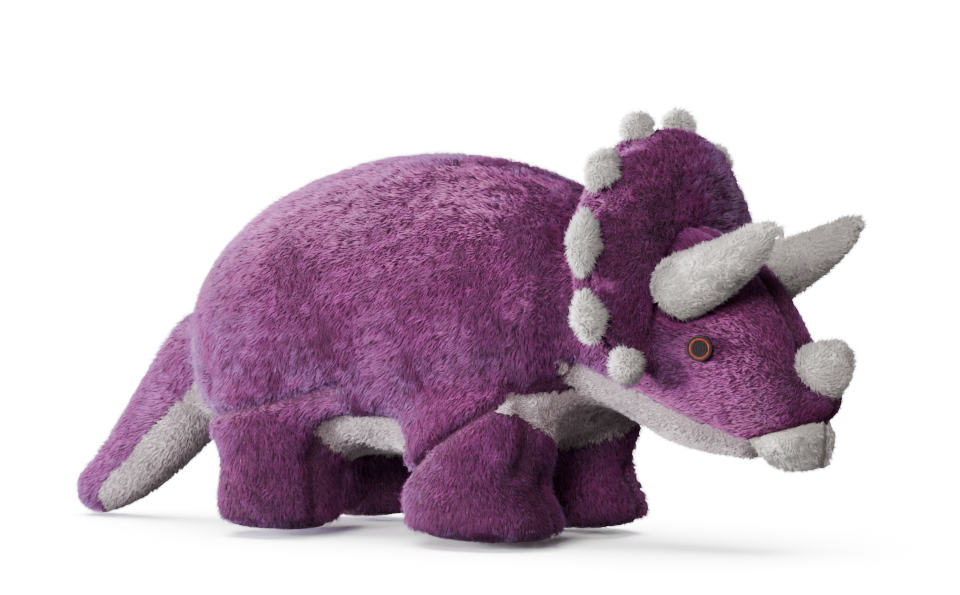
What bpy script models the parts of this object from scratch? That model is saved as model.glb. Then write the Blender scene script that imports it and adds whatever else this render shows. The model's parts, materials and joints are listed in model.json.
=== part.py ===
"""Stuffed horned dinosaur, standing on four stubby legs.

Every part of the toy is a cloth cover sewn from panels around a fibre filling. Each part starts as one
closed form, a loft of oval sections, which is grown or shrunk to give the outside of the cloth, its
inside and the filling, and cut along its seams into panels. Where two parts flex against each other the
filling of one ends in a ball, which sits in a socket in the other.

+X is forward, +Y is the toy's left and +Z is up. The soles stand at Z = 0.
"""

import math

import bmesh
import bpy
from mathutils import Matrix, Vector

MM = 0.001

# Cloth and sewing.
CLOTH = 2.5 * MM  # pile fabric and its backing
GAP = 0.3 * MM  # between pieces that touch
FILL_GAP = 1.2 * MM  # between the cloth and its filling
FLEX_GAP = 1.8 * MM  # around a ball in its socket
SEAM_TUCK = 4.0 * MM  # how far a cover reaches into a socket past the rim

# Torso.
TORSO_REAR_X = -127.2 * MM
TORSO_LENGTH = 208 * MM
TORSO_WIDTH = 146 * MM
TORSO_HEIGHT = 141 * MM
BELLY_HEIGHT = 35 * MM
BELLY_PANEL_WIDTH = 102 * MM
BELLY_PANEL_TOP = 76 * MM
# Share of the length, of the height at the bottom and at the top, and of the width.
TORSO_SECTIONS = (
    (0.16, 0.03, 0.79, 0.86),
    (0.30, 0.01, 0.91, 1.00),
    (0.48, -0.01, 0.99, 0.96),
    (0.66, 0.00, 1.00, 0.96),
    (0.82, 0.04, 0.95, 0.94),
)
TORSO_SQUARENESS = 0.78  # below 1, the lower half is fuller than an oval

# Neck and head. Head sections are measured from the neck's pivot.
NECK_RADIUS = 46 * MM
NECK_HEIGHT = 103 * MM
NECK_LIP = 4 * MM
NECK_RIM = 9 * MM  # how far the torso's end lies in front of the pivot
NECK_SHOULDER = (12 * MM, 7 * MM)  # behind the torso's end, and how much wider than it
HEAD_LENGTH = 122 * MM
HEAD_WIDTH = 97 * MM
HEAD_HEIGHT = 106 * MM
# Share of the length, of the height at the bottom and at the top, and of the width.
HEAD_SECTIONS = (
    (0.38, -0.575, 0.415, 0.96),
    (0.53, -0.594, 0.377, 1.00),
    (0.67, -0.608, 0.264, 0.91),
    (0.79, -0.623, 0.094, 0.73),
    (0.885, -0.646, -0.113, 0.57),
    (0.95, -0.604, -0.18, 0.43),
    (0.99, -0.51, -0.264, 0.24),
)
CHIN_SEAM_START = (42 * MM, -34 * MM)  # from the pivot, along X and Z
CHIN_SEAM_END = (90 * MM, -54.5 * MM)
BEAK_SEAM_END = (118 * MM, -45 * MM)

# Frill.
FRILL_X = 39 * MM  # from the neck's pivot to the middle of the frill at the pivot's height
FRILL_TILT = math.radians(3)
FRILL_CENTRE_UP = 21 * MM
FRILL_HALF_WIDTH = 77 * MM
FRILL_HALF_HEIGHT = 66 * MM
FRILL_THICKNESS = 20 * MM
FRILL_EDGE = 14 * MM
FRILL_FLAT = 0.72  # share of the half width that has the full thickness
# Rounding of the rim: how far in from it, and half how thick, as shares of the edge's thickness.
FRILL_ROUNDING = ((0.55, 0.5), (0.08, 0.22))
FRILL_END_DOWN = 26 * MM  # how far below the pivot the frill's ends stop
FRILL_CURL = 16 * MM  # how far the ends bend forward to meet the cheeks
FRILL_STEPS = 32
RIM_GAP = 0.6 * MM  # between the rim and the bumps sewn on it

# Bumps on the frill's rim: the angle up from the side, and the length along the rim.
BUMP_ANGLES = (-39, -17, 12, 44, 75)
BUMP_LENGTHS = (20 * MM, 27 * MM, 32 * MM, 27 * MM, 24 * MM)
BUMP_POINTEDNESS = 0.35  # 0 for an oval
BUMP_RISE = 9 * MM
BUMP_THICKNESS = 15 * MM

# Eyes, embroidered in three rings of thread.
EYE_X = 78 * MM
EYE_DOWN = 11.5 * MM
EYE_DIAMETERS = (11.4 * MM, 9.4 * MM, 6.2 * MM, 0)
EYE_HEIGHT = 1.2 * MM
EYE_BLANK = 6 * MM  # thickness of a ring before the face is cut from it

# Horns.
BROW_X = 65 * MM
BROW_UP = 14 * MM
BROW_LENGTH = 58 * MM
BROW_BASE_RADIUS = 14 * MM
BROW_TIP_RADIUS = 8.5 * MM
BROW_BOW = 4.5 * MM  # how far the middle lies above a straight line to the tip
BROW_RISE = math.radians(31)
BROW_SPREAD = math.radians(5)
BROW_SINK = 2 * MM
HORN_OPENING = 0.5  # share of the base's radius at which its cover is open
# Share of the length, of the taper from base to tip, and of the radius there.
HORN_SECTIONS = ((0.55, 0.35, 1.0), (0.9, 0.93, 1.0), (1.0, 1.0, 0.45))
NOSE_BASE_RADIUS = 13 * MM
NOSE_TIP_RADIUS = 9 * MM
NOSE_LENGTH = 17 * MM
NOSE_RISE = math.radians(42)
NOSE_X = 104 * MM
NOSE_DOWN = 33 * MM
NOSE_SINK = 2 * MM

# Tail: share of the way to the tip along X and down, and of the root's radius.
TAIL_ROOT_RADIUS = 28 * MM
TAIL_HEIGHT = 84 * MM
TAIL_INSET = 11 * MM  # how far the pivot lies inside the torso's rear end
TAIL_LIP = 5 * MM
TAIL_REACH = 80 * MM
TAIL_TIP_HEIGHT = 14 * MM
TAIL_SECTIONS = ((0.18, 0.20, 0.98), (0.56, 0.66, 0.83), (0.81, 0.93, 0.62))
TAIL_TIP_RADIUS = 14 * MM
TAIL_SEAM_DROP = 0.35  # below the tail's middle, as a share of the root's radius
TAIL_SOCKET_DEPTH = 1.5  # of the root's radius

# Legs: height, half length, half width and shift forward of each section below the hip.
HIP_HEIGHT = 50 * MM
HIP_INSET = 7 * MM  # torso outside the hip ball
REAR_HIP_X = 60 * MM  # in front of the torso's rear end
FRONT_HIP_X = 46 * MM  # behind the torso's front end
REAR_HIP_RADIUS = 28 * MM
FRONT_HIP_RADIUS = 28 * MM
HIP_HALF_WIDTH = 27 * MM
HIP_SPARE = 3 * MM  # extra room for the thigh at the bottom of its socket
SOLE_SEAM = 5 * MM
REAR_FOOT = (
    (0 * MM, 19 * MM, 16 * MM, 0 * MM),
    (0 * MM, 29.5 * MM, 25.5 * MM, 0 * MM),
    (12 * MM, 33.5 * MM, 29 * MM, 0 * MM),
    (30 * MM, 30 * MM, 28 * MM, 0 * MM),
)
FRONT_FOOT = (
    (0 * MM, 24 * MM, 18 * MM, 3 * MM),
    (0 * MM, 37 * MM, 28 * MM, 3 * MM),
    (12 * MM, 42.5 * MM, 32 * MM, 3 * MM),
    (28 * MM, 35 * MM, 30 * MM, 2 * MM),
)
PAW_SEAM_TILT = math.radians(32)

# How far each part flexes.
LEG_SWING = math.radians(7)
TAIL_SWING = math.radians(15)
HORN_SWING = math.radians(12)

LARGE = 600 * MM  # a cutting block, larger than the toy

PURPLE = ((0.20, 0.022, 0.15, 1), 0.95)
GREY = ((0.42, 0.34, 0.35, 1), 0.95)
PALE = ((0.66, 0.64, 0.60, 1), 0.95)
FILL = ((0.85, 0.85, 0.83, 1), 1.0)
BLACK_THREAD = ((0.012, 0.013, 0.015, 1), 0.55)
ORANGE_THREAD = ((0.62, 0.12, 0.05, 1), 0.5)


# ---------------------------------------------------------------- scene


def clear_scene():
    for obj in list(bpy.data.objects):
        bpy.data.objects.remove(obj)


def new_collection(name, rendered=True):
    made = bpy.data.collections.new(name)
    made.hide_render = not rendered
    bpy.context.scene.collection.children.link(made)
    return made


def new_object(name, bm, collection):
    mesh = bpy.data.meshes.new(name)
    bm.normal_update()
    bmesh.ops.recalc_face_normals(bm, faces=bm.faces)
    bm.to_mesh(mesh)
    bm.free()
    obj = bpy.data.objects.new(name, mesh)
    collection.objects.link(obj)
    return obj


def hide(obj):
    obj.hide_render = True
    obj.display_type = "WIRE"
    return obj


def finish_piece(obj, finish):
    """Gives a piece its own material, from a colour and a roughness."""
    colour, roughness = finish
    mat = bpy.data.materials.new(obj.name)
    mat.use_nodes = True
    mat.diffuse_color = colour
    shader = mat.node_tree.nodes["Principled BSDF"]
    shader.inputs["Base Color"].default_value = colour
    shader.inputs["Roughness"].default_value = roughness
    shader.inputs["Metallic"].default_value = 0.0
    obj.data.materials.clear()
    obj.data.materials.append(mat)


# ---------------------------------------------------------------- forms


def loft(name, sections, segments, collection):
    """A closed soft form through oval sections: (centre, half across, half up, squareness below)."""
    bm = bmesh.new()
    bmesh.ops.create_circle(bm, cap_ends=True, segments=segments, radius=1)
    cap = bm.faces[:]
    for number in range(1, len(sections)):
        grown = bmesh.ops.extrude_face_region(bm, geom=cap)["geom"]
        if number > 1:
            bmesh.ops.delete(bm, geom=cap, context="FACES_ONLY")
        bmesh.ops.translate(bm, verts=[g for g in grown if isinstance(g, bmesh.types.BMVert)], vec=(0, 0, 1))
        cap = [g for g in grown if isinstance(g, bmesh.types.BMFace)]
    # Subdivision pulls a cage in by this much.
    swell = 1 / (0.75 + 0.25 * math.cos(math.tau / segments))
    for vert in bm.verts:
        centre, across, up, squareness = sections[round(vert.co.z)]
        x, y = vert.co.x, vert.co.y
        if y < 0:
            x = math.copysign(abs(x) ** squareness, x)
            y = -(abs(y) ** squareness)
        vert.co = centre + swell * (x * across + y * up)
    obj = new_object(name, bm, collection)
    subdivide(obj, 1)
    return obj


def subdivide(obj, levels):
    smooth = obj.modifiers.new("soften", "SUBSURF")
    smooth.levels = levels
    smooth.render_levels = levels


def settled(obj):
    """The mesh of an object with its modifiers applied."""
    graph = bpy.context.evaluated_depsgraph_get()
    return bpy.data.meshes.new_from_object(obj.evaluated_get(graph))


def grown_form(form, distance, name, collection):
    """The form with its surface moved out by a distance, or in if that is negative."""
    bm = bmesh.new()
    bm.from_mesh(form.data)
    bm.normal_update()
    moves = [(vert, vert.normal * distance) for vert in bm.verts]
    for vert, move in moves:
        vert.co += move
    return new_object(name, bm, collection)


def ball_sections(centre, radius, shares, axis, across, up):
    """Sections of a ball at these shares of its radius along an axis."""
    return [
        (
            centre + axis * radius * share,
            across * radius * math.sqrt(1 - share**2),
            up * radius * math.sqrt(1 - share**2),
            1.0,
        )
        for share in shares
    ]


# ---------------------------------------------------------------- cutting


def boolean(obj, other, operation, solver="EXACT"):
    """Cuts one closed form with another. Cloth takes the manifold solver, as the exact one tears it."""
    cut = obj.modifiers.new(f"{operation.lower()} {other.name}", "BOOLEAN")
    cut.operation = operation
    cut.solver = solver
    cut.object = other


def block_beyond(point, normal):
    """A cutting block that fills the space on the normal's side of a point."""
    bm = bmesh.new()
    bmesh.ops.create_cube(bm, size=LARGE)
    block = new_object("seam block", bm, cutters)
    normal = Vector(normal).normalized()
    block.rotation_mode = "QUATERNION"
    block.rotation_quaternion = Vector((0, 0, 1)).rotation_difference(normal)
    block.location = Vector(point) + normal * LARGE / 2
    return hide(block)


def socket_cutter(name, place, way, radii, depth=0.0, flare=(0.0, 0.0)):
    """The room for a ball and, if it has a depth, for the limb to swing in as it leaves the socket."""
    bm = bmesh.new()
    bmesh.ops.create_uvsphere(bm, u_segments=20, v_segments=10, radius=1)
    rim = max(vert.co.z for vert in bm.verts if vert.co.xy.length > 0.01)
    for vert in bm.verts:
        out = vert.co.xy.length
        if depth and vert.co.z > 0.01:
            share = min(vert.co.z / rim, 1.0)
            vert.co.z = share * depth
            if out > 0.01:
                vert.co.x *= (radii[0] + flare[0] * share) / out
                vert.co.y *= (radii[1] + flare[1] * share) / out
        else:
            vert.co = (vert.co.x * radii[0], vert.co.y * radii[1], vert.co.z * radii[0])
    socket = new_object(name, bm, cutters)
    way = Vector(way).normalized()
    turned = Matrix((LEFT.cross(way), LEFT, way)).transposed()
    socket.matrix_world = Matrix.Translation(place) @ turned.to_4x4()
    return hide(socket)


def soft_form(name, sections, segments):
    """The outside of a part, as a hidden form."""
    cage = loft(f"{name} cage", sections, segments, cutters)
    form = bpy.data.objects.new(f"{name} outside", settled(cage))
    cutters.objects.link(hide(form))
    bpy.data.objects.remove(cage)
    return form


class Part:
    """One soft part: its outside, and the inside of its cloth, as forms to cut panels from."""

    def __init__(self, name, outside, pivot):
        self.pivot = pivot
        self.outside = outside
        self.inside = hide(grown_form(outside, -CLOTH, f"{name} inside", cutters))

    def panel(self, name, finish, beyond=(), sockets=(), within=None):
        """A piece of the cover: the cloth that is left when the space beyond each seam is cut away.

        The form stays solid until all its seams and sockets are cut, and is hollowed out last.
        """
        piece = bpy.data.objects.new(name, self.outside.data.copy())
        toy.objects.link(piece)
        for socket in sockets:
            boolean(piece, socket, "DIFFERENCE", "MANIFOLD")
        for point, normal in beyond:
            boolean(piece, block_beyond(point, normal), "DIFFERENCE", "MANIFOLD")
        if within:
            boolean(piece, within, "INTERSECT", "MANIFOLD")
        boolean(piece, self.inside, "DIFFERENCE", "MANIFOLD")
        finish_piece(piece, finish)
        hang_on(piece, self.pivot)
        return piece

    def filling(self, name, sockets=()):
        piece = grown_form(self.outside, -CLOTH - FILL_GAP, name, toy)
        for socket in sockets:
            boolean(piece, socket, "DIFFERENCE", "MANIFOLD")
        finish_piece(piece, FILL)
        hang_on(piece, self.pivot)
        return piece


def pivot_empty(name, place):
    empty = bpy.data.objects.new(name, None)
    empty.location = place
    empty.empty_display_size = 10 * MM
    toy.objects.link(empty)
    return empty


def hang_on(piece, pivot):
    """Parents a piece, whose mesh is where it belongs, to its part's pivot."""
    piece.parent = pivot
    piece.data.transform(Matrix.Translation(-(pivot.location - piece.location)))
    piece.location = (0, 0, 0)


def surface_point(form, start, direction):
    """Where a line from outside first meets a form."""
    hit, place, _, _ = form.ray_cast(Vector(start), Vector(direction))
    if not hit:
        raise ValueError(f"nothing of {form.name} lies there")
    return place


# ---------------------------------------------------------------- places

FORWARD = Vector((1, 0, 0))
LEFT = Vector((0, 1, 0))
UP = Vector((0, 0, 1))


def section_x(x, bottom, top, width, squareness=1.0):
    """An upright section at x, across the toy."""
    return (
        Vector((x, 0, (bottom + top) / 2)),
        LEFT * width / 2,
        UP * (top - bottom) / 2,
        squareness,
    )


def torso_sections(neck, tail):
    front = neck.x + NECK_RIM
    sections = [
        section_x(
            TORSO_REAR_X,
            tail.z - TAIL_ROOT_RADIUS - TAIL_LIP,
            tail.z + TAIL_ROOT_RADIUS + TAIL_LIP,
            2 * (TAIL_ROOT_RADIUS + TAIL_LIP),
        )
    ]
    for along, low, high, wide in TORSO_SECTIONS:
        sections.append(
            section_x(
                TORSO_REAR_X + along * TORSO_LENGTH,
                BELLY_HEIGHT + low * TORSO_HEIGHT,
                BELLY_HEIGHT + high * TORSO_HEIGHT,
                wide * TORSO_WIDTH,
                TORSO_SQUARENESS,
            )
        )
    for back, wider in (NECK_SHOULDER, (0, 0)):
        reach = NECK_RADIUS + NECK_LIP + wider
        sections.append(section_x(front - back, neck.z - reach, neck.z + reach, 2 * reach))
    return sections


def head_sections(neck):
    sections = ball_sections(neck, NECK_RADIUS, (-0.97, -0.78, -0.42, 0.0, 0.38), FORWARD, LEFT, UP)
    for along, low, high, wide in HEAD_SECTIONS:
        sections.append(
            section_x(
                neck.x + along * HEAD_LENGTH,
                neck.z + low * HEAD_HEIGHT,
                neck.z + high * HEAD_HEIGHT,
                wide * HEAD_WIDTH,
            )
        )
    return sections


def tail_sections(tail):
    reach = Vector((TAIL_REACH, 0, tail.z - TAIL_TIP_HEIGHT))
    way = Vector((-1, 0, -1)).normalized()
    above = Vector((-1, 0, 1)).normalized()
    sections = ball_sections(tail, TAIL_ROOT_RADIUS, (-0.96, -0.72, -0.2, 0.3), way, LEFT, above)
    for along, down, wide in TAIL_SECTIONS:
        radius = wide * TAIL_ROOT_RADIUS
        flatter = (way * (1 - along) + Vector((-1, 0, -0.35)) * along).normalized()
        centre = tail + Vector((-along * reach.x, 0, -down * reach.z))
        sections.append((centre, LEFT * radius, flatter.cross(LEFT) * -radius, 1.0))
    tip = tail - reach
    for beyond, share in ((0.0, 1.0), (0.6, 0.6)):
        radius = TAIL_TIP_RADIUS * share
        sections.append((tip - FORWARD * TAIL_TIP_RADIUS * beyond, LEFT * radius, UP * radius, 1.0))
    return sections


def leg_sections(hip, radius, half_width, foot):
    sections = []
    for height, half_length, half_across, forward in foot:
        centre = Vector((hip.x + forward, hip.y, height))
        sections.append((centre, FORWARD * half_length, LEFT * half_across, 1.0))
    for share in (-0.15, 0.35, 0.72, 0.95):
        level = math.sqrt(1 - share**2)
        centre = hip + UP * radius * share
        sections.append((centre, FORWARD * radius * level, LEFT * half_width * level, 1.0))
    return sections


def horn_sections(base, way, length, base_radius, tip_radius, bow):
    up = way.cross(LEFT).normalized() * -1
    across = way.cross(up).normalized()
    sections = ball_sections(base, base_radius, (-0.94, -0.55, 0.1), way, across, up)
    for along, taper, share in HORN_SECTIONS:
        radius = share * (base_radius + (tip_radius - base_radius) * taper)
        centre = base + way * length * along + up * bow * 4 * along * (1 - along)
        sections.append((centre, across * radius, up * radius, 1.0))
    return sections


# ---------------------------------------------------------------- parts of the toy


def make_torso(neck, tail, sockets):
    pivot = pivot_empty("torso pivot", (0, 0, NECK_HEIGHT))
    torso = Part("torso", soft_form("torso", torso_sections(neck, tail), 12), pivot)
    half = BELLY_PANEL_WIDTH / 2
    around_belly = belly_block(half + GAP, BELLY_PANEL_TOP + GAP)
    for name, side in (("left", 1), ("right", -1)):
        seams = [((0, side * GAP / 2, 0), (0, -side, 0))]
        torso.panel(f"side_panel_{name}", PURPLE, seams, [*sockets, around_belly])
    torso.panel("belly_panel", GREY, (), sockets, within=belly_block(half, BELLY_PANEL_TOP))
    torso.filling("torso_stuffing", sockets)


def belly_block(half_width, top):
    """A block around the middle of the toy's underside, which parts belly from sides."""
    bm = bmesh.new()
    bmesh.ops.create_cube(bm, size=2)
    bmesh.ops.scale(bm, vec=(LARGE / 2, half_width, LARGE / 2), verts=bm.verts)
    block = new_object("belly block", bm, cutters)
    block.location = (0, 0, top - LARGE / 2)
    return hide(block)


def frill_frame(neck):
    """Where the frill's middle is, and which way its front faces."""
    front = Vector((math.cos(FRILL_TILT), 0, math.sin(FRILL_TILT)))
    up = Vector((-math.sin(FRILL_TILT), 0, math.cos(FRILL_TILT)))
    return neck + FORWARD * FRILL_X + up * FRILL_CENTRE_UP, front, up


def frill_outside(neck):
    """The frill as a full padded disc, turned from the outline of half its thickness."""
    centre, front, up = frill_frame(neck)
    reach = FRILL_HALF_WIDTH
    profile = [(0.0, FRILL_THICKNESS / 2), (reach * FRILL_FLAT, FRILL_THICKNESS / 2)]
    profile += [(reach - FRILL_EDGE * inset, FRILL_EDGE * half) for inset, half in FRILL_ROUNDING]
    profile += [(across, -along) for across, along in reversed(profile)]
    bm = bmesh.new()
    corners = [bm.verts.new((across, 0, along)) for across, along in profile]
    for first, second in zip(corners, corners[1:]):
        bm.edges.new((first, second))
    bmesh.ops.spin(
        bm,
        geom=bm.verts[:] + bm.edges[:],
        axis=(0, 0, 1),
        angle=math.tau,
        steps=FRILL_STEPS,
        use_merge=True,
    )
    bmesh.ops.remove_doubles(bm, verts=bm.verts, dist=0.01 * MM)
    turned = Matrix((LEFT, up, front)).transposed()
    tall = FRILL_HALF_HEIGHT / FRILL_HALF_WIDTH
    for vert in bm.verts:
        vert.co = curled(centre + turned @ Vector((vert.co.x, vert.co.y * tall, vert.co.z)), neck)
    return hide(new_object("frill outside", bm, cutters))


def curled(point, neck):
    """Bends what lies below the neck's pivot forward, most at the frill's ends."""
    depth = max(neck.z - point.z, 0.0) / FRILL_END_DOWN
    return point + FORWARD * FRILL_CURL * min(depth, 1.2) ** 2


def rim_point(neck, angle):
    """A point on the frill's rim, its way along the rim and its way out."""
    centre, _, up = frill_frame(neck)
    across, tall = FRILL_HALF_WIDTH, FRILL_HALF_HEIGHT
    place = LEFT * across * math.cos(angle) + up * tall * math.sin(angle)
    along = (LEFT * -across * math.sin(angle) + up * tall * math.cos(angle)).normalized()
    outward = (LEFT * tall * math.cos(angle) + up * across * math.sin(angle)).normalized()
    return curled(centre + place, neck), along, outward


def make_frill(neck, head):
    frill = Part("frill", frill_outside(neck), head.pivot)
    centre, front, _ = frill_frame(neck)
    hole = hide(grown_form(head.outside, GAP, "frill hole", cutters))
    ends = neck - UP * FRILL_END_DOWN
    ends_cut = (ends, (0, 0, -1))
    for name, side in (("front", 1), ("back", -1)):
        seams = [(centre + front * side * GAP / 2, front * -side), ends_cut]
        frill.panel(f"frill_{name}_panel", PURPLE, seams, [hole])
    padding = frill.filling("frill_padding", [hole])
    boolean(padding, block_beyond(*ends_cut), "DIFFERENCE", "MANIFOLD")
    rim = hide(grown_form(frill.outside, RIM_GAP, "frill rim", cutters))
    for name, side in (("left", 1), ("right", -1)):
        for number, (angle, length) in enumerate(zip(BUMP_ANGLES, BUMP_LENGTHS), 1):
            turn = math.radians(angle if side == 1 else 180 - angle)
            make_bump(f"frill_bump_{name}_{number}", neck, turn, length, front, rim, frill.pivot)


def make_bump(name, neck, turn, length, front, rim, pivot):
    """A stuffed leaf of pale cloth, sewn into the rim's seam."""
    place, along, outward = rim_point(neck, turn)
    bm = bmesh.new()
    bmesh.ops.create_uvsphere(bm, u_segments=10, v_segments=7, radius=1)
    for vert in bm.verts:
        narrow = 1 - BUMP_POINTEDNESS * abs(vert.co.x)
        vert.co.y *= narrow
        vert.co.z *= narrow
    shape = Matrix((along * length / 2, outward * BUMP_RISE, front * BUMP_THICKNESS / 2)).transposed()
    bmesh.ops.transform(bm, matrix=shape.to_4x4(), verts=bm.verts)
    bmesh.ops.translate(bm, vec=place, verts=bm.verts)
    bump = new_object(name, bm, toy)
    boolean(bump, rim, "DIFFERENCE")
    finish_piece(bump, PALE)
    hang_on(bump, pivot)


def head_seams(neck):
    """The chin's and the beak's seams, as a point and a way down each."""
    chin = neck + Vector((CHIN_SEAM_START[0], 0, CHIN_SEAM_START[1]))
    corner = neck + Vector((CHIN_SEAM_END[0], 0, CHIN_SEAM_END[1]))
    beak = neck + Vector((BEAK_SEAM_END[0], 0, BEAK_SEAM_END[1]))
    chin_down = LEFT.cross(corner - chin).normalized()
    beak_down = LEFT.cross(beak - corner).normalized()
    return corner, chin_down, beak_down


def make_head(neck, head, sockets):
    corner, chin_down, beak_down = head_seams(neck)
    centre, front, _ = frill_frame(neck)
    step = GAP / 2
    behind = (centre + front * step, -front)
    for name, side in (("left", 1), ("right", -1)):
        middle = ((0, side * step, 0), (0, -side, 0))
        face_seams = [
            behind,
            middle,
            (corner - chin_down * step, chin_down),
            (corner - beak_down * step, beak_down),
        ]
        head.panel(f"face_panel_{name}", PURPLE, face_seams, sockets)
        beak_seams = [middle, (corner + beak_down * step, -beak_down), (corner + FORWARD * step, (-1, 0, 0))]
        head.panel(f"beak_{name}", PALE, beak_seams)
    chin_seams = [behind, (corner + chin_down * step, -chin_down), (corner - FORWARD * step, (1, 0, 0))]
    head.panel("chin_panel", GREY, chin_seams)
    neck_seams = [(centre - front * step, front), (neck + FORWARD * SEAM_TUCK, (-1, 0, 0))]
    head.panel("neck_panel", PURPLE, [*neck_seams, (corner - chin_down * step, chin_down)])
    head.panel("throat_panel", GREY, [*neck_seams, (corner + chin_down * step, -chin_down)])
    head.filling("head_stuffing", sockets)


def make_eyes(neck, head):
    """Three rings of stitching a side, one in another, that follow the face."""
    face = hide(grown_form(head.outside, GAP, "face under the eyes", cutters))
    for name, side in (("left", 1), ("right", -1)):
        start = neck + Vector((EYE_X, side * HEAD_WIDTH, -EYE_DOWN))
        place = surface_point(head.outside, start, (0, -side, 0))
        rings = ("eye_outline", "eye_ring", "pupil")
        finishes = (BLACK_THREAD, ORANGE_THREAD, BLACK_THREAD)
        ahead = surface_point(head.outside, start + FORWARD * 5 * MM, (0, -side, 0)) - place
        outward = Vector((-ahead.y, ahead.x, 0)).normalized()
        outward *= math.copysign(1, outward.y * side)
        turned = outward.to_track_quat("Z", "Y").to_matrix().to_4x4()
        for ring, outer, inner, finish in zip(rings, EYE_DIAMETERS, EYE_DIAMETERS[1:], finishes):
            sunk = Matrix.Translation(place) @ turned @ Matrix.Translation((0, 0, EYE_HEIGHT - EYE_BLANK / 2))
            piece = disc(f"{ring}_{name}", outer / 2, EYE_BLANK, sunk, toy)
            boolean(piece, face, "DIFFERENCE")
            if inner:
                hole = disc("eye hole", inner / 2 + GAP / 2, EYE_BLANK * 2, sunk, cutters)
                boolean(piece, hide(hole), "DIFFERENCE")
            finish_piece(piece, finish)
            hang_on(piece, head.pivot)


def disc(name, radius, thickness, matrix, collection):
    bm = bmesh.new()
    bmesh.ops.create_cone(bm, cap_ends=True, segments=20, radius1=radius, radius2=radius, depth=thickness)
    bmesh.ops.transform(bm, matrix=matrix, verts=bm.verts)
    return new_object(name, bm, collection)


def make_horns(neck, head):
    """Two brow horns and a nose horn; gives back each one's pivot and the socket it needs in the head."""
    made = []
    for name, side in (("left", 1), ("right", -1)):
        start = neck + Vector((BROW_X, side * HEAD_WIDTH, BROW_UP))
        base = surface_point(head.outside, start, (0, -side, 0)) - LEFT * side * BROW_SINK
        way = Vector((math.cos(BROW_RISE), side * math.sin(BROW_SPREAD), math.sin(BROW_RISE))).normalized()
        sizes = (BROW_LENGTH, BROW_BASE_RADIUS, BROW_TIP_RADIUS, BROW_BOW)
        made.append(make_horn(f"brow_horn_{name}", base, way, *sizes))
    way = Vector((math.cos(NOSE_RISE), 0, math.sin(NOSE_RISE)))
    start = neck + FORWARD * NOSE_X - UP * NOSE_DOWN + way * HEAD_LENGTH
    base = surface_point(head.outside, start, -way) - way * NOSE_SINK
    made.append(make_horn("nose_horn", base, way, NOSE_LENGTH, NOSE_BASE_RADIUS, NOSE_TIP_RADIUS, 0.0))
    return made


def make_horn(name, base, way, length, base_radius, tip_radius, bow):
    pivot = pivot_empty(f"{name} pivot", base)
    sections = horn_sections(base, way, length, base_radius, tip_radius, bow)
    horn = Part(name, soft_form(name, sections, 6), pivot)
    horn.panel(f"{name}_cover", PALE, [(base - way * base_radius * HORN_OPENING, -way)])
    horn.filling(f"{name}_stuffing")
    room = base_radius + FLEX_GAP
    flat_way = Vector((way.x, 0, way.z)).normalized()
    swept = math.tan(HORN_SWING) * length / 2
    return pivot, socket_cutter(f"{name} socket", base, flat_way, (room, room), length / 2, (swept, 0.0))


def make_tail(tail):
    pivot = pivot_empty("tail pivot", tail)
    part = Part("tail", soft_form("tail", tail_sections(tail), 8), pivot)
    way = Vector((-TAIL_REACH, 0, -(tail.z - TAIL_TIP_HEIGHT))).normalized()
    below = way.cross(LEFT).normalized()
    seam = tail + below * TAIL_ROOT_RADIUS * TAIL_SEAM_DROP
    root = (tail + way * SEAM_TUCK, -way)
    for name, side in (("left", 1), ("right", -1)):
        seams = [((0, side * GAP / 2, 0), (0, -side, 0)), (seam - below * GAP / 2, below), root]
        part.panel(f"tail_panel_{name}", PURPLE, seams)
    part.panel("tail_underside_panel", GREY, [(seam + below * GAP / 2, -below), root])
    part.filling("tail_stuffing")
    room = TAIL_ROOT_RADIUS + FLEX_GAP
    depth = TAIL_ROOT_RADIUS * TAIL_SOCKET_DEPTH
    return socket_cutter("tail socket", tail, way, (room, room), depth, (0.0, math.tan(TAIL_SWING) * depth))


def make_leg(name, hip, radius, half_width, foot, slanted):
    pivot = pivot_empty(f"{name} pivot", hip)
    part = Part(name, soft_form(name, leg_sections(hip, radius, half_width, foot), 8), pivot)
    top = (hip + UP * SEAM_TUCK, (0, 0, 1))
    sole_top = Vector((0, 0, SOLE_SEAM))
    above_sole = (sole_top + UP * GAP / 2, (0, 0, -1))
    if slanted:
        down = Vector((math.sin(PAW_SEAM_TILT), 0, -math.cos(PAW_SEAM_TILT)))
        part.panel(f"{name}_upper_panel", PURPLE, [(hip - down * GAP / 2, down), top, above_sole])
        part.panel(f"{name}_paw_panel", PURPLE, [(hip + down * GAP / 2, -down), top, above_sole])
    else:
        for place, side in (("outer", 1), ("inner", -1)):
            way = Vector((0, side * math.copysign(1, hip.y), 0))
            part.panel(f"{name}_{place}_panel", PURPLE, [(hip + way * GAP / 2, -way), top, above_sole])
    part.panel(f"{name}_sole", PURPLE, [(sole_top - UP * GAP / 2, (0, 0, 1))])
    part.filling(f"{name}_stuffing")
    long, wide = radius + FLEX_GAP, half_width + FLEX_GAP
    swept = math.tan(LEG_SWING) * hip.z + HIP_SPARE
    return socket_cutter(f"{name} socket", hip, (0, 0, -1), (long, wide), hip.z, (swept, 0.0))


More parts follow.
